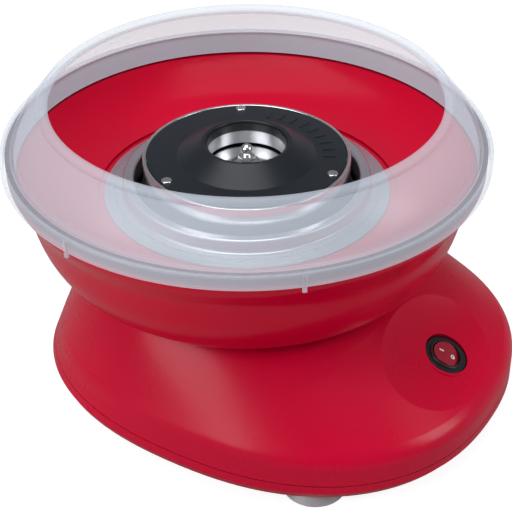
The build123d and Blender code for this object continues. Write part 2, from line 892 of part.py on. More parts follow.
with BuildPart() as thermal_cutout:
    with BuildSketch(level(tray_level + tray_sheet)):
        with Locations((-cutout_reach, 0)):
            RectangleRounded(cutout_width, cutout_length, 2)
    extrude(amount=cutout_height)

thermal_cutout.part.label = "thermal_cutout"
export_step(thermal_cutout.part, "parts/thermal_cutout.step")

# ---- Spinning head ----------------------------------------------------------------------------

lip_inner_radius = head_radius - head_lip
cover_radius = lip_inner_radius - slot_gap
cover_underside = head_level - cover_sheet
dish_rise_level = cover_underside - 1.4
dish_slope = (dish_rise_level - dish_floor_level) / (lip_inner_radius - mouth_radius - 2)
rivet_floor = dish_floor_level + dish_slope * (rivet_circle - mouth_radius - 2)

with BuildPart() as head_dish:
    add(
        turned(
            [
                (stud_radius + fit, dish_floor_level + 2),
                (hub_radius - 2, dish_floor_level + 2),
                (mouth_radius - 1, dish_floor_level),
                (mouth_radius + 2, dish_floor_level),
                (lip_inner_radius, dish_rise_level),
                (lip_inner_radius, head_level),
                (head_radius, head_level),
                (head_radius, head_skirt_level),
                (head_radius - head_sheet, head_skirt_level),
                (head_radius - head_sheet, dish_rise_level - head_sheet),
                (mouth_radius + 2, dish_floor_level - head_sheet),
                (mouth_radius - 1, dish_floor_level - head_sheet),
                (hub_radius - 2, dish_floor_level + 2 - head_sheet),
                (stud_radius + fit, dish_floor_level + 2 - head_sheet),
            ]
        )
    )
    fillet(head_dish.edges().group_by(Axis.Z)[-1], radius=0.5)
    with BuildSketch(level(dish_floor_level)):
        with PolarLocations(rivet_circle, rivet_count, start_angle=rivet_turn):
            Circle(rivet_shank_radius + fit)
    extrude(amount=head_level - dish_floor_level, mode=Mode.SUBTRACT)

head_dish.part.label = "head_dish"
export_step(head_dish.part, "parts/head_dish.step")

with BuildPart() as head_cover:
    add(
        turned(
            [
                (cover_radius, cover_underside),
                (cover_radius, head_level),
                (cone_foot_radius, head_level),
                (cone_top_radius, head_level + cone_height),
                (mouth_radius, head_level + cone_height),
                (mouth_radius, head_level + cone_height - 3),
                (cone_top_radius + 0.8, head_level + cone_height - 3),
                (cone_foot_radius - 1.4, cover_underside),
            ]
        )
    )
    fillet(head_cover.edges().group_by(Axis.Z)[-1], radius=0.9)
    # Raised plain ticks on the deck, part of the moulding
    with BuildSketch(level(head_level)):
        with PolarLocations(tick_circle, tick_count, tick_start, tick_arc, endpoint=True):
            SlotOverall(tick_length, tick_width)
    extrude(amount=tick_height)
    with BuildSketch(level(cover_underside)):
        with PolarLocations(rivet_circle, rivet_count, start_angle=rivet_turn):
            Circle(rivet_shank_radius + fit)
    extrude(amount=cover_sheet, mode=Mode.SUBTRACT)

head_cover.part.label = "head_cover"
export_step(head_cover.part, "parts/head_cover.step")

with BuildPart() as sugar_well:
    add(
        turned(
            [
                (mouth_radius - well_sheet, well_level),
                (mouth_radius - running_fit, well_level),
                (mouth_radius - running_fit, head_level + cone_height - 1.5),
                (mouth_radius - well_sheet, head_level + cone_height - 1.5),
            ]
        )
    )

sugar_well.part.label = "sugar_well"
export_step(sugar_well.part, "parts/sugar_well.step")

with BuildPart() as head_rivets:
    with BuildSketch(level(head_level)):
        with PolarLocations(rivet_circle, rivet_count, start_angle=rivet_turn):
            Circle(rivet_head_radius)
    extrude(amount=0.9)
    fillet(head_rivets.edges().group_by(Axis.Z)[-1], radius=0.6)
    with BuildSketch(level(rivet_floor - head_sheet - 0.8)):
        with PolarLocations(rivet_circle, rivet_count, start_angle=rivet_turn):
            Circle(rivet_shank_radius)
    extrude(amount=head_level - rivet_floor + head_sheet + 0.8)
    with BuildSketch(level(rivet_floor - head_sheet - 1.4)):
        with PolarLocations(rivet_circle, rivet_count, start_angle=rivet_turn):
            Circle(rivet_shank_radius + 0.8)
    extrude(amount=1)
    with BuildSketch(level(rivet_floor + 0.4)):
        with PolarLocations(rivet_circle, rivet_count, start_angle=rivet_turn):
            Circle(rivet_shank_radius + 0.7)
    extrude(amount=cover_underside - rivet_floor - 0.4)

head_rivets.part.label = "head_rivets"
export_step(head_rivets.part, "parts/head_rivets.step")

washer_level = dish_floor_level + 2
nut_level = washer_level + washer_height

with BuildPart() as head_hub:
    with BuildSketch(level(hub_level)):
        Circle(hub_radius)
    extrude(amount=dish_floor_level - head_sheet - hub_level)
    with BuildSketch(level(dish_floor_level - head_sheet)):
        Circle(hub_radius - 2.5)
    extrude(amount=2)
    with BuildSketch(level(dish_floor_level)):
        Circle(stud_radius)
    extrude(amount=ball_level - dish_floor_level)
    with BuildSketch(level(hub_level)):
        Circle(shaft_radius + running_fit)
    extrude(amount=shaft_top_level + 0.6 - hub_level, mode=Mode.SUBTRACT)
    with BuildSketch(level(hub_level)):
        Rectangle(2 * hub_radius + 2, 2 * drive_pin_radius + 0.3)
    extrude(amount=drive_pin_level + drive_pin_radius + 0.3 - hub_level, mode=Mode.SUBTRACT)

head_hub.part.label = "head_hub"
export_step(head_hub.part, "parts/head_hub.step")

with BuildPart() as hub_washer:
    with BuildSketch(level(washer_level)):
        Circle(nut_across_flats / 2 + 1.2)
        Circle(stud_radius + fit, mode=Mode.SUBTRACT)
    extrude(amount=washer_height)

hub_washer.part.label = "hub_washer"
export_step(hub_washer.part, "parts/hub_washer.step")

with BuildPart() as ball_nut:
    with BuildSketch(level(nut_level)):
        RegularPolygon(nut_across_flats / 2, 6, major_radius=False)
    extrude(amount=nut_height)
    chamfer(ball_nut.edges().group_by(Axis.Z)[-1], length=0.5)
    with BuildSketch(level(nut_level + nut_height)):
        Circle(ball_radius - 0.8)
    extrude(amount=ball_level - nut_level - nut_height)
    with Locations((0, spindle_y, ball_level)):
        Sphere(ball_radius)
    with BuildSketch(level(nut_level)):
        Circle(stud_radius)
    extrude(amount=ball_level - nut_level, mode=Mode.SUBTRACT)

ball_nut.part.label = "ball_nut"
export_step(ball_nut.part, "parts/ball_nut.step")

# ---- Collecting bowl --------------------------------------------------------------------------

rim_drop = bowl_rim_level - bowl_foot_level
rim_spread = bowl_rim_radius - bowl_foot_radius
belly_shape = ((0.50, 0.20), (0.70, 0.446), (0.831, 0.689))
belly = [(bowl_foot_radius + rim_spread * r, bowl_foot_level + rim_drop * z) for r, z in belly_shape]
belly_top = bowl_ledge_level + 3.5
dish_join_level = bowl_ledge_level - 4.5
dish_join_radius = bowl_ledge_radius - 1.5
dish_sag_radius = (bowl_ledge_radius + bowl_seat_radius) / 2 + dish_sag
dish_sag_level = (bowl_ledge_level + bowl_floor_level) / 2 - dish_sag
seat_level = bowl_floor_level - bowl_seat_depth

with BuildPart() as collecting_bowl:
    with BuildSketch(turning_plane):
        with BuildLine():
            Line((rim_inner_radius, bowl_rim_level), (bowl_rim_radius, bowl_rim_level))
            Line((bowl_rim_radius, bowl_rim_level), (bowl_rim_radius, belly_top))
            Spline(
                (bowl_rim_radius, belly_top),
                belly[2],
                belly[1],
                belly[0],
                (bowl_foot_radius, bowl_foot_level),
                tangents=[(-0.2, -1), (-1, -0.25)],
            )
            Line((bowl_foot_radius, bowl_foot_level), (bowl_foot_radius - bowl_wall, bowl_foot_level))
            Polyline(
                (bowl_foot_radius - bowl_wall, bowl_foot_level),
                (bowl_foot_radius - bowl_wall, neck_level),
                (bowl_flange_radius, neck_level),
                (bowl_flange_radius, neck_level + bowl_wall),
                (bowl_foot_radius, neck_level + bowl_wall),
            )
            Spline(
                (bowl_foot_radius, neck_level + bowl_wall),
                (belly[0][0] - bowl_wall, belly[0][1] + 0.6),
                (belly[1][0] - bowl_wall, belly[1][1]),
                (dish_join_radius, dish_join_level),
            )
            ThreePointArc(
                (dish_join_radius, dish_join_level),
                (dish_sag_radius, dish_sag_level - bowl_wall),
                (bowl_seat_radius + 1, seat_level - bowl_wall),
            )
            Polyline(
                (bowl_seat_radius + 1, seat_level - bowl_wall),
                (bowl_hole_radius, seat_level - bowl_wall),
                (bowl_hole_radius, seat_level),
                (bowl_seat_radius, seat_level),
                (bowl_seat_radius, bowl_floor_level),
            )
            ThreePointArc(
                (bowl_seat_radius, bowl_floor_level),
                (dish_sag_radius, dish_sag_level),
                (bowl_ledge_radius, bowl_ledge_level),
            )
            Line((bowl_ledge_radius, bowl_ledge_level), (rim_inner_radius, bowl_ledge_level))
            Line((rim_inner_radius, bowl_ledge_level), (rim_inner_radius, bowl_rim_level))
        make_face()
    revolve(axis=spindle)
    # Notches over the keys of the base
    with BuildSketch(level(neck_level)):
        with PolarLocations(bowl_flange_radius + key_length / 2, key_count, start_angle=90):
            Rectangle(key_length + 3, key_width + 6 * fit)
    extrude(amount=bowl_wall, mode=Mode.SUBTRACT)

collecting_bowl.part.label = "collecting_bowl"
export_step(collecting_bowl.part, "parts/collecting_bowl.step")

throat_level = seat_level - bowl_wall - 1.6

with BuildPart() as heat_ring:
    with BuildSketch(turning_plane):
        with BuildLine():
            FilletPolyline(
                (ring_flange_radius, seat_level + ring_sheet),
                (ring_wall_radius, seat_level + 3 * ring_sheet),
                (ring_wall_radius, ring_lip_level),
                (ring_throat_radius, ring_lip_level),
                (ring_throat_radius, throat_level),
                radius=ring_corner,
            )
            offset(amount=ring_sheet, side=Side.LEFT)
        make_face()
    revolve(axis=spindle)

heat_ring.part.label = "heat_ring"
export_step(heat_ring.part, "parts/heat_ring.step")

with BuildPart() as ring_retainer:
    with BuildSketch(level(seat_level - bowl_wall)):
        Circle(bowl_hole_radius + 5)
        Circle(ring_throat_radius + ring_sheet, mode=Mode.SUBTRACT)
    extrude(amount=-1.2)

ring_retainer.part.label = "ring_retainer"
export_step(ring_retainer.part, "parts/ring_retainer.step")

# ---- Splash guard -----------------------------------------------------------------------------

guard_shoulder_level = bowl_rim_level + guard_wall
guard_inner_radius = guard_radius - guard_wall
collar_inner_radius = rim_inner_radius - 0.4 - guard_wall
collar_outer_radius = rim_inner_radius - 0.4
mouth_level = guard_top_level - guard_bead_radius
wall_rise = mouth_level - guard_shoulder_level

with BuildPart() as splash_guard:
    with BuildSketch(turning_plane):
        with BuildLine():
            Line((guard_inner_radius, guard_skirt_level), (guard_radius, guard_skirt_level))
            Line((guard_radius, guard_skirt_level), (guard_radius, guard_shoulder_level - guard_wall))
            RadiusArc(
                (guard_radius, guard_shoulder_level - guard_wall),
                (guard_inner_radius, guard_shoulder_level),
                -guard_wall,
            )
            Line((guard_inner_radius, guard_shoulder_level), (collar_outer_radius, guard_shoulder_level))
            ThreePointArc(
                (collar_outer_radius, guard_shoulder_level),
                (
                    (collar_outer_radius + guard_mouth_radius) / 2 + guard_bulge,
                    guard_shoulder_level + wall_rise / 2 + guard_bulge / 2,
                ),
                (guard_mouth_radius + guard_wall / 2, mouth_level),
            )
            Line(
                (guard_mouth_radius + guard_wall / 2, mouth_level),
                (guard_mouth_radius - guard_wall / 2, mouth_level),
            )
            ThreePointArc(
                (guard_mouth_radius - guard_wall / 2, mouth_level),
                (
                    (collar_inner_radius + guard_mouth_radius) / 2 + guard_bulge - guard_wall / 2,
                    guard_shoulder_level + wall_rise / 2 + guard_bulge / 2 - guard_wall / 2,
                ),
                (collar_inner_radius, guard_shoulder_level - guard_wall),
            )
            Polyline(
                (collar_inner_radius, guard_shoulder_level - guard_wall),
                (collar_inner_radius, guard_collar_level),
                (collar_outer_radius, guard_collar_level),
                (collar_outer_radius, bowl_rim_level),
                (guard_inner_radius, bowl_rim_level),
                (guard_inner_radius, guard_skirt_level),
            )
        make_face()
        with Locations((guard_mouth_radius, mouth_level)):
            Circle(guard_bead_radius)
    revolve(axis=spindle)
    # Four pull tabs down the skirt, in two facing pairs
    tab_reach = guard_radius + tab_depth - tab_thick / 2
    with BuildSketch(level(guard_skirt_level - tab_drop)):
        for turn in (tab_turn, tab_turn + 180):
            with PolarLocations(tab_reach, 2, turn - tab_half_angle, 4 * tab_half_angle):
                Rectangle(tab_thick, tab_width)
    extrude(amount=guard_shoulder_level - guard_wall - guard_skirt_level + tab_drop)

splash_guard.part.label = "splash_guard"
export_step(splash_guard.part, "parts/splash_guard.step")
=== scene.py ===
import bpy
from mathutils import Matrix, Vector


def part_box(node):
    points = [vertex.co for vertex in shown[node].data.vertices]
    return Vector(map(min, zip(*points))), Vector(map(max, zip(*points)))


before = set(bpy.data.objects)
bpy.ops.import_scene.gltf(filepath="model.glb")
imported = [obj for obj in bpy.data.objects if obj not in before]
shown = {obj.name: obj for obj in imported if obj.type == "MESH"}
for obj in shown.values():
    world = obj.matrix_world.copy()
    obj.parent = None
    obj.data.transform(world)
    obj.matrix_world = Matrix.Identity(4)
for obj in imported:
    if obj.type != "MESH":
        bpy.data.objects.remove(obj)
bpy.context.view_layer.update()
scene = bpy.context.scene

# ---- Camera -----------------------------------------------------------------------------------
# A long lens a little above the machine, looking down on it from the front left.

eye = bpy.data.cameras.new("photo_camera")
eye.lens = 93.4
eye.sensor_width = 36.0
eye.clip_start = 0.02
eye.clip_end = 20.0
camera = bpy.data.objects.new("photo_camera", eye)
scene.collection.objects.link(camera)
camera.matrix_world = Matrix(
    (
        (0.520001, 0.490253, -0.699465, -0.513804),
        (-0.854151, 0.293704, -0.429143, -0.309560),
        (-0.004953, 0.820603, 0.571477, 0.487742),
        (0.0, 0.0, 0.0, 1.0),
    )
)
scene.camera = camera

# ---- Studio -----------------------------------------------------------------------------------
# A pale paper floor, a white surround and three softboxes. The camera sees floor and surround
# nearly white, while the machine is lit by them only weakly, so its reds stay deep.

scene.view_settings.view_transform = "Standard"
scene.view_settings.look = "None"


def wire(tree, kind, inputs, **settings):
    """Adds a shader node, then sets or links its inputs."""
    made = tree.nodes.new(kind)
    for name, value in settings.items():
        setattr(made, name, value)
    for key, value in inputs.items():
        if isinstance(value, bpy.types.NodeSocket):
            tree.links.new(value, made.inputs[key])
        else:
            made.inputs[key].default_value = value
    return made


def ramp(tree, value, source, target):
    """Maps the source span of a value onto the target span, and holds it at both ends."""
    inputs = {
        "Value": value,
        "From Min": source[0],
        "From Max": source[1],
        "To Min": target[0],
        "To Max": target[1],
    }
    return wire(tree, "ShaderNodeMapRange", inputs).outputs[0]


def new_material(name, **sockets):
    """A material whose Principled shader has these plain socket values."""
    made = bpy.data.materials.new(name)
    made.use_nodes = True
    shader = made.node_tree.nodes["Principled BSDF"]
    for key, value in sockets.items():
        shader.inputs[key.replace("_", " ")].default_value = value
    return made, made.node_tree, shader


white = (1.0, 1.0, 1.0, 1.0)
surround_light, surround_seen = 0.2, 1.0
world = bpy.data.worlds.new("studio_surround")
world.use_nodes = True
surround = world.node_tree
sky = surround.nodes["Background"]
sky.inputs["Color"].default_value = white
seen = wire(surround, "ShaderNodeLightPath", {}).outputs["Is Camera Ray"]
level = ramp(surround, seen, (0.0, 1.0), (surround_light, surround_seen))
surround.links.new(level, sky.inputs["Strength"])
scene.world = world


def softbox(name, place, aim, size, power):
    """A rectangular area lamp that faces a point."""
    lamp = bpy.data.lights.new(name, "AREA")
    lamp.shape = "RECTANGLE"
    lamp.size, lamp.size_y = size
    lamp.energy = power
    made = bpy.data.objects.new(name, lamp)
    made.location = place
    made.rotation_mode = "QUATERNION"
    made.rotation_quaternion = (Vector(aim) - Vector(place)).to_track_quat("-Z", "Y")
    scene.collection.objects.link(made)


middle = Vector((0.0, 0.01, 0.09))
softbox("softbox_top", (-0.1, 0.1, 1.5), middle, size=(1.1, 1.1), power=12.5)
softbox("softbox_left", (-1.15, 0.4, 0.7), middle, size=(0.9, 0.9), power=11.0)
softbox("softbox_right", (0.3, -1.25, 0.7), middle, size=(0.5, 0.8), power=7.5)

floor_reach = 4.0
floor_glow = 0.84
floor_corners = [
    (-floor_reach, -floor_reach, 0),
    (floor_reach, -floor_reach, 0),
    (floor_reach, floor_reach, 0),
    (-floor_reach, floor_reach, 0),
]
sheet = bpy.data.meshes.new("studio_floor")
sheet.from_pydata(floor_corners, [], [(0, 1, 2, 3)])
floor = bpy.data.objects.new("studio_floor", sheet)
scene.collection.objects.link(floor)
paper, paper_tree, paper_shader = new_material(
    "floor_paper", Base_Color=(0.40, 0.40, 0.40, 1.0), Roughness=0.9, Specular_IOR_Level=0.1
)
seen = wire(paper_tree, "ShaderNodeLightPath", {}).outputs["Is Camera Ray"]
glow = ramp(paper_tree, seen, (0.0, 1.0), (0.0, floor_glow))
paper_shader.inputs["Emission Color"].default_value = white
paper_tree.links.new(glow, paper_shader.inputs["Emission Strength"])
sheet.materials.append(paper)

# ---- Housing ----------------------------------------------------------------------------------
# The base is two shells of glossy red ABS: a tall upper one with the tower for the motor, and a
# shallow tray that closes it from below.


def new_group(name, inputs, outputs):
    """An empty shader node group with named sockets."""
    tree = bpy.data.node_groups.new(name, "ShaderNodeTree")
    for label, kind, value in inputs:
        made = tree.interface.new_socket(label, in_out="INPUT", socket_type="NodeSocket" + kind)
        made.default_value = value
    for label, kind in outputs:
        tree.interface.new_socket(label, in_out="OUTPUT", socket_type="NodeSocket" + kind)
    return tree, tree.nodes.new("NodeGroupInput").outputs, tree.nodes.new("NodeGroupOutput")


def maths(tree, operation, *values, **settings):
    """The result of a math node on these values."""
    inputs = dict(enumerate(values))
    return wire(tree, "ShaderNodeMath", inputs, operation=operation, **settings).outputs[0]


def noise(tree, place, scale, detail, roughness=0.5):
    """The value of a noise texture."""
    inputs = {"Vector": place, "Scale": scale, "Detail": detail, "Roughness": roughness}
    return wire(tree, "ShaderNodeTexNoise", inputs).outputs["Fac"]


def blend(tree, factor, first, second):
    """A colour between two others. A Mix node keeps its colours in sockets 6 and 7, and 2 out."""
    inputs = {"Factor": factor, 6: first, 7: second}
    return wire(tree, "ShaderNodeMix", inputs, data_type="RGBA").outputs[2]


def relief(tree, height, depth):
    """The normal of a surface whose height varies by this depth."""
    inputs = {"Height": height, "Strength": 1.0, "Distance": depth}
    return wire(tree, "ShaderNodeBump", inputs).outputs[0]


surface_outputs = [("Base Color", "Color"), ("Roughness", "Float"), ("Normal", "Vector")]
nothing_to_all = (0.0, 1.0)

# Moulded plastic: orange peel, hairline scuffs, cloudy gloss and rubbed edges
moulded, given, result = new_group(
    "moulded_plastic",
    [
        ("Color", "Color", (0.5, 0.5, 0.5, 1.0)),
        ("Rubbed Color", "Color", (0.8, 0.8, 0.8, 1.0)),
        ("Roughness", "Float", 0.2),
        ("Peel", "Float", 0.1),
        ("Scuffs", "Float", 0.3),
        ("Rubbing", "Float", 0.5),
        # Crease Shade sets how dark the painted shade in creases and under overhangs goes
        ("Crease Shade", "Float", 0.7),
    ],
    surface_outputs,
)
place = wire(moulded, "ShaderNodeTexCoord", {}).outputs["Object"]
peel = noise(moulded, place, scale=700.0, detail=2.0)
cloud = noise(moulded, place, scale=22.0, detail=5.0, roughness=0.6)
drift = noise(moulded, place, scale=7.0, detail=2.0)

# Scuffs are noise drawn out into hairs, in two directions
hairs = []
for turn, stretch in (
    ((0.3, 0.5, 0.2), (60.0, 1700.0, 400.0)),
    ((0.9, 0.1, 1.2), (1500.0, 50.0, 500.0)),
):
    drawn = {"Vector": place, "Rotation": turn, "Scale": stretch}
    laid = wire(moulded, "ShaderNodeMapping", drawn).outputs[0]
    grain = noise(moulded, laid, scale=1.0, detail=2.0)
    hairs.append(ramp(moulded, grain, (0.66, 0.78), nothing_to_all))
scuffed = maths(moulded, "MULTIPLY", maths(moulded, "MAXIMUM", *hairs), given["Scuffs"])

# An edge is rubbed, in patches, where its rounded normal leaves the flat one
edge_radius = 0.0007
rounded = wire(moulded, "ShaderNodeBevel", {"Radius": edge_radius}, samples=4).outputs[0]
straight = wire(moulded, "ShaderNodeNewGeometry", {}).outputs["Normal"]
align = wire(
    moulded, "ShaderNodeVectorMath", {0: rounded, 1: straight}, operation="DOT_PRODUCT"
).outputs["Value"]
corner = ramp(moulded, align, (0.96, 0.82), nothing_to_all)
patchy = ramp(moulded, cloud, (0.42, 0.62), (0.15, 1.0))
rubbing = maths(
    moulded, "MULTIPLY", maths(moulded, "MULTIPLY", corner, patchy), given["Rubbing"]
)

# The colour drifts a little over the piece at random. Painted shade, from ambient occlusion,
# darkens it in creases and under overhangs
crease_reach = 0.014
# Painted shade: ambient occlusion darkens the colour where shade falls, in creases and under
# overhangs
nook = wire(
    moulded, "ShaderNodeAmbientOcclusion", {"Distance": crease_reach}, samples=8
).outputs["AO"]
painted_crease_shade = ramp(moulded, nook, (0.15, 0.55), (given["Crease Shade"], 1.0))
shade = ramp(moulded, drift, (0.3, 0.7), (0.93, 1.05))
cast = maths(moulded, "MULTIPLY", shade, painted_crease_shade)
tone = wire(
    moulded, "ShaderNodeVectorMath", {0: given["Color"], "Scale": cast}, operation="SCALE"
).outputs[0]
colour = blend(moulded, rubbing, tone, given["Rubbed Color"])

# Scuffs dull the gloss, which is cloudy by itself, and are cut a little into the orange peel
scuff_dulling, scuff_cut, plastic_relief = 0.22, -0.15, 0.00006
gloss = ramp(moulded, cloud, (0.3, 0.7), (-0.035, 0.05))
dull = maths(moulded, "MULTIPLY_ADD", scuffed, scuff_dulling, gloss)
rough = maths(moulded, "ADD", dull, given["Roughness"], use_clamp=True)
skin = maths(moulded, "MULTIPLY", peel, given["Peel"])
height = maths(moulded, "MULTIPLY_ADD", scuffed, scuff_cut, skin)
moulded.links.new(colour, result.inputs["Base Color"])
moulded.links.new(rough, result.inputs["Roughness"])
moulded.links.new(relief(moulded, height, plastic_relief), result.inputs["Normal"])


def dressed(name, group, values, **sockets):
    """A material that takes its colour, gloss and relief from a group with these values."""
    made, tree, shader = new_material(name, **sockets)
    effect = tree.nodes.new("ShaderNodeGroup")
    effect.node_tree = group
    for key, value in values.items():
        effect.inputs[key].default_value = value
    for output in effect.outputs:
        tree.links.new(output, shader.inputs[output.name])
    return made


def wear(material, *nodes):
    """Gives each of these CAD nodes this one material."""
    for name in nodes:
        mesh = shown[name].data
        mesh.materials.clear()
        mesh.materials.append(material)


red_shell = dressed(
    "red_shell",
    moulded,
    {
        "Color": (0.57, 0.0003, 0.030, 1.0),
        "Rubbed Color": (0.62, 0.02, 0.06, 1.0),
        "Roughness": 0.28,
        "Peel": 0.12,
        "Scuffs": 0.0,
        "Rubbing": 0.12,
        # Deep painted shade in creases and under overhangs, for the dark line under the bowl's
        # foot
        "Crease Shade": 0.15,
    },
    IOR=1.5,
    Specular_IOR_Level=0.2,
    Coat_Weight=0.03,
    Coat_Roughness=0.14,
)
wear(red_shell, "upper_housing", "lower_housing")

# ---- Feet -------------------------------------------------------------------------------------
# Four soft, cloudy suction feet of PVC. Each is moulded in one piece with a stem that is pulled
# up through the tray.

soft_pvc = dressed(
    "soft_pvc",
    moulded,
    {
        "Color": (0.50, 0.47, 0.48, 1.0),
        "Rubbed Color": (0.66, 0.64, 0.65, 1.0),
        "Roughness": 0.32,
        "Peel": 0.5,
        "Scuffs": 0.6,
        "Rubbing": 0.6,
    },
    IOR=1.45,
    Subsurface_Weight=0.6,
    Subsurface_Scale=0.004,
)
wear(soft_pvc, "suction_feet")

# ---- Bowl -------------------------------------------------------------------------------------
# The lift-off collecting bowl is one double-walled moulding of glossy red plastic. It stands on
# the deck of the base, held by three keys under its foot.

red_bowl = dressed(
    "red_bowl",
    moulded,
    {
        "Color": (0.60, 0.0003, 0.026, 1.0),
        "Rubbed Color": (0.66, 0.02, 0.06, 1.0),
        "Roughness": 0.2,
        "Peel": 0.12,
        "Scuffs": 0.0,
        "Rubbing": 0.12,
        # Painted shade in creases and under overhangs, fairly deep
        "Crease Shade": 0.3,
    },
    IOR=1.5,
    Specular_IOR_Level=0.15,
    Coat_Weight=0.03,
    Coat_Roughness=0.1,
)
wear(red_bowl, "collecting_bowl")

# ---- Guard ------------------------------------------------------------------------------------
# The splash guard is thin, milky polypropylene. It clips over the rim of the bowl with small
# tabs on its skirt, and a collar inside keeps it centred.

milky = dressed(
    "milky_polypropylene",
    moulded,
    {
        "Color": (0.50, 0.55, 0.62, 1.0),
        "Rubbed Color": (0.76, 0.79, 0.85, 1.0),
        "Roughness": 0.3,
        "Peel": 0.2,
        "Scuffs": 0.05,
        "Rubbing": 0.5,
        "Crease Shade": 1.0,
    },
    IOR=1.49,
    Specular_IOR_Level=0.4,
    # The faint bluish emission is painted light: a glow standing in for the surround's light
    # shining through the thin film
    Emission_Color=(0.78, 0.88, 1.0, 1.0),
    Emission_Strength=0.24,
)
wear(milky, "splash_guard")


def from_axis(tree, place, axis_y):
    """How far a place is from the upright axis through x = 0 and this y."""
    centred = wire(
        tree, "ShaderNodeVectorMath", {0: place, 1: (0.0, -axis_y, 0.0)}, operation="ADD"
    ).outputs[0]
    flat = wire(
        tree, "ShaderNodeVectorMath", {0: centred, 1: (1.0, 1.0, 0.0)}, operation="MULTIPLY"
    ).outputs[0]
    return wire(tree, "ShaderNodeVectorMath", {0: flat}, operation="LENGTH").outputs["Value"]


# The sheet hides more where the collar backs it, inside the skirt and below the rim
wall_cover, collar_cover = 0.36, 0.5
collar_edge = (0.1205, 0.1225)
collar_top = (0.142, 0.146)
all_to_nothing = (1.0, 0.0)
film = milky.node_tree
guard_low, guard_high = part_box("splash_guard")
guard_y = (guard_low[1] + guard_high[1]) / 2
spot = wire(film, "ShaderNodeTexCoord", {}).outputs["Object"]
radius = from_axis(film, spot, guard_y)
rise = wire(film, "ShaderNodeSeparateXYZ", {0: spot}).outputs["Z"]
inside = ramp(film, radius, collar_edge, all_to_nothing)
below = ramp(film, rise, collar_top, all_to_nothing)
collar = maths(film, "MULTIPLY", inside, below)
density = ramp(film, collar, nothing_to_all, (wall_cover, collar_cover))
film.links.new(density, film.nodes["Principled BSDF"].inputs["Alpha"])

# ---- Spinning head ----------------------------------------------------------------------------
# The head is a dish spun from aluminium sheet and polished on the lathe. A black enamelled cover
# is riveted on it. A ball-ended nut in the sugar well clamps it to the hub, which drops over
# the shaft.

# Turned metal: fine lathe rings, bands of duller gloss and dark smears
turned, given, result = new_group(
    "turned_metal",
    [
        ("Color", "Color", (0.8, 0.8, 0.8, 1.0)),
        ("Dark Color", "Color", (0.4, 0.4, 0.42, 1.0)),
        ("Roughness", "Float", 0.2),
        ("Rings", "Float", 0.3),
        ("Stain", "Float", 0.3),
    ],
    surface_outputs,
)
place = wire(turned, "ShaderNodeTexCoord", {}).outputs["Object"]
spindle_y = sum(corner[1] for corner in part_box("motor_shaft")) / 2
reach = from_axis(turned, place, spindle_y)
rise = wire(turned, "ShaderNodeSeparateXYZ", {0: place}).outputs["Z"]
along = wire(turned, "ShaderNodeCombineXYZ", {0: reach, 1: rise, 2: 0.0}).outputs[0]
lathe = noise(turned, along, scale=2600.0, detail=3.0)
bands = noise(turned, along, scale=420.0, detail=3.0)
smear = noise(turned, place, scale=55.0, detail=6.0, roughness=0.65)
blotch = ramp(turned, smear, (0.45, 0.75), nothing_to_all)
stain = maths(turned, "MULTIPLY", blotch, given["Stain"])
colour = blend(turned, stain, given["Color"], given["Dark Color"])

# Stains dull the metal, and the rings are cut only a few hundredths of a millimetre deep
stain_dulling, ring_relief = 0.25, 0.00005
swing = ramp(turned, bands, (0.3, 0.7), (-0.05, 0.07))
dull = maths(turned, "MULTIPLY_ADD", stain, stain_dulling, swing)
rough = maths(turned, "ADD", dull, given["Roughness"], use_clamp=True)
rings = maths(turned, "MULTIPLY", lathe, given["Rings"])
turned.links.new(colour, result.inputs["Base Color"])
turned.links.new(rough, result.inputs["Roughness"])
turned.links.new(relief(turned, rings, ring_relief), result.inputs["Normal"])

spun_aluminium = dressed(
    "spun_aluminium",
    turned,
    {
        "Color": (0.83, 0.84, 0.86, 1.0),
        "Dark Color": (0.55, 0.55, 0.57, 1.0),
        "Roughness": 0.16,
        "Rings": 0.3,
        "Stain": 0.2,
    },
    Metallic=1.0,
    Anisotropic=0.3,
)
wear(spun_aluminium, "head_dish")

black_enamel = dressed(
    "black_enamel",
    moulded,
    {
        "Color": (0.012, 0.016, 0.022, 1.0),
        "Rubbed Color": (0.10, 0.11, 0.12, 1.0),
        "Roughness": 0.33,
        "Peel": 0.5,
        "Scuffs": 0.3,
        "Rubbing": 0.3,
    },
    IOR=1.5,
    Specular_IOR_Level=0.3,
)
wear(black_enamel, "head_cover")

well_metal = dressed(
    "well_metal",
    turned,
    {
        "Color": (0.66, 0.67, 0.70, 1.0),
        "Dark Color": (0.34, 0.34, 0.36, 1.0),
        "Roughness": 0.34,
        "Rings": 0.5,
        "Stain": 0.3,
    },
)
wear(well_metal, "sugar_well")

# The top of the well's wall is blackened like the cover; below it the sheet is bare
black = (0.012, 0.013, 0.015, 1.0)
blackened_depth = (0.0045, 0.004)
well = well_metal.node_tree
well_shader = well.nodes["Principled BSDF"]
well_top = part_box("sugar_well")[1][2]
spot = wire(well, "ShaderNodeTexCoord", {}).outputs["Object"]
rise = wire(well, "ShaderNodeSeparateXYZ", {0: spot}).outputs["Z"]
bare = ramp(well, rise, [well_top - depth for depth in blackened_depth], all_to_nothing)
sheet_colour = well_shader.inputs["Base Color"].links[0].from_socket
well.links.new(blend(well, bare, black, sheet_colour), well_shader.inputs["Base Color"])
well.links.new(bare, well_shader.inputs["Metallic"])

plated_steel = dressed(
    "plated_steel",
    turned,
    {
        "Color": (0.72, 0.73, 0.75, 1.0),
        "Dark Color": (0.35, 0.34, 0.33, 1.0),
        "Roughness": 0.24,
        "Rings": 0.15,
        "Stain": 0.35,
    },
    Metallic=1.0,
)
wear(plated_steel, "head_rivets", "hub_washer", "head_hub")

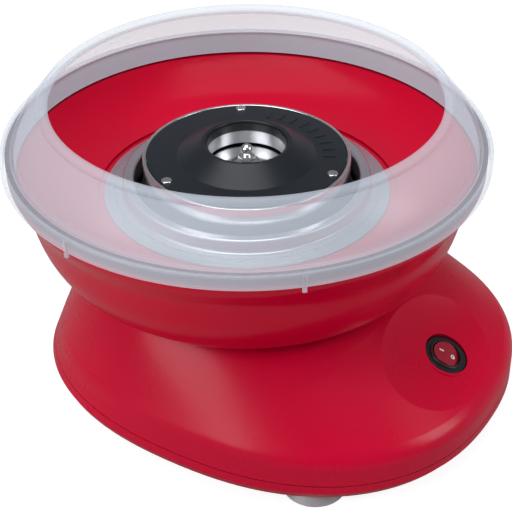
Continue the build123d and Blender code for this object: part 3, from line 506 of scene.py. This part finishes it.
bright_chrome = dressed(
    "bright_chrome",
    turned,
    {
        "Color": (0.86, 0.87, 0.88, 1.0),
        "Dark Color": (0.5, 0.5, 0.5, 1.0),
        "Roughness": 0.08,
        "Rings": 0.04,
        "Stain": 0.15,
    },
    Metallic=1.0,
)
wear(bright_chrome, "ball_nut")

# ---- Heat ring --------------------------------------------------------------------------------
# A ring of satin aluminium lines the hole in the bowl and keeps the head's heat off the plastic.
# A second ring under the bowl's floor retains it.

satin_aluminium = dressed(
    "satin_aluminium",
    turned,
    {
        "Color": (0.60, 0.61, 0.64, 1.0),
        "Dark Color": (0.42, 0.42, 0.44, 1.0),
        "Roughness": 0.3,
        "Rings": 0.4,
        "Stain": 0.2,
    },
    Metallic=1.0,
    Anisotropic=0.3,
)
wear(satin_aluminium, "heat_ring", "ring_retainer")

# ---- Housing screws ---------------------------------------------------------------------------
# Six plated steel screws hold the two shells together. They are driven up from below, through
# counterbores in the tray.

wear(plated_steel, "housing_screws")

# ---- Motor ------------------------------------------------------------------------------------
# A shaded-pole motor of steel laminations, one copper coil and two die-cast brackets with bronze
# bushes hangs on four long screws from the top of the tower, on grommets. A nylon fan sits at the
# foot of its shaft.

rolled_steel = dressed(
    "rolled_steel",
    turned,
    {
        "Color": (0.33, 0.34, 0.36, 1.0),
        "Dark Color": (0.12, 0.11, 0.10, 1.0),
        "Roughness": 0.4,
        "Rings": 0.8,
        "Stain": 0.5,
    },
    Metallic=1.0,
)
wear(rolled_steel, "motor_stator")

enamelled_copper = dressed(
    "enamelled_copper",
    turned,
    {
        "Color": (0.70, 0.25, 0.09, 1.0),
        "Dark Color": (0.34, 0.09, 0.03, 1.0),
        "Roughness": 0.28,
        "Rings": 1.0,
        "Stain": 0.4,
    },
    Metallic=1.0,
)
wear(enamelled_copper, "motor_coil")

die_cast = dressed(
    "die_cast",
    turned,
    {
        "Color": (0.58, 0.58, 0.60, 1.0),
        "Dark Color": (0.36, 0.36, 0.37, 1.0),
        "Roughness": 0.45,
        "Rings": 0.1,
        "Stain": 0.5,
    },
    Metallic=1.0,
)
wear(die_cast, "motor_top_bracket", "motor_bottom_bracket")

bronze = dressed(
    "bronze",
    turned,
    {
        "Color": (0.62, 0.42, 0.2, 1.0),
        "Dark Color": (0.3, 0.19, 0.09, 1.0),
        "Roughness": 0.3,
        "Rings": 0.3,
        "Stain": 0.5,
    },
    Metallic=1.0,
)
wear(bronze, "motor_bushes")

black_nylon = dressed(
    "black_nylon",
    moulded,
    {
        "Color": (0.012, 0.012, 0.014, 1.0),
        "Rubbed Color": (0.09, 0.09, 0.1, 1.0),
        "Roughness": 0.3,
        "Peel": 0.6,
        "Scuffs": 0.4,
        "Rubbing": 0.6,
    },
    IOR=1.5,
)
wear(black_nylon, "cooling_fan", "motor_grommets")
wear(plated_steel, "motor_shaft", "drive_pin", "motor_rotor", "motor_screws")

# ---- Heater -----------------------------------------------------------------------------------
# A tubular steel element on ceramic posts heats the head from below. Its enamelled tray stands
# off the tower on insulating washers and three screws, with a thermal cut-out on its floor.

heated_steel = dressed(
    "heated_steel",
    turned,
    {
        "Color": (0.3, 0.29, 0.27, 1.0),
        "Dark Color": (0.14, 0.1, 0.08, 1.0),
        "Roughness": 0.42,
        "Rings": 0.3,
        "Stain": 0.8,
    },
    Metallic=1.0,
)
wear(heated_steel, "heater_ring")

bisque = dressed(
    "bisque_ceramic",
    moulded,
    {
        "Color": (0.78, 0.75, 0.69, 1.0),
        "Rubbed Color": (0.86, 0.84, 0.8, 1.0),
        "Roughness": 0.6,
        "Peel": 1.5,
        "Scuffs": 0.3,
        "Rubbing": 0.4,
    },
)
wear(bisque, "heater_posts", "tray_insulators")
wear(black_enamel, "heater_tray")
wear(black_nylon, "thermal_cutout")
wear(plated_steel, "tray_screws")

# ---- Switch -----------------------------------------------------------------------------------
# A round rocker switch snaps into the dish on the front of the base. Its body is black nylon
# with two terminals at the back, and the red button carries the on and off signs in white.

wear(black_nylon, "switch_body")
wear(bronze, "switch_terminals")

red_rocker = dressed(
    "red_rocker",
    moulded,
    {
        "Color": (0.34, 0.002, 0.02, 1.0),
        "Rubbed Color": (0.5, 0.06, 0.08, 1.0),
        "Roughness": 0.16,
        "Peel": 0.2,
        "Scuffs": 0.4,
        "Rubbing": 0.4,
    },
    IOR=1.55,
    Coat_Weight=0.5,
)
wear(red_rocker, "rocker")

white_print = dressed(
    "white_print",
    moulded,
    {
        "Color": (0.86, 0.86, 0.86, 1.0),
        "Rubbed Color": (0.7, 0.5, 0.5, 1.0),
        "Roughness": 0.4,
        "Peel": 0.4,
        "Scuffs": 0.2,
        "Rubbing": 0.3,
    },
)
wear(white_print, "rocker_marks")

# ---- Cord inlet -------------------------------------------------------------------------------
# The cord comes in through a nylon gland at the back, and ends in a ceramic terminal block with
# three screws on the floor of the base.

wear(black_nylon, "cord_gland")
wear(bisque, "terminal_block")
wear(bronze, "terminal_screws")
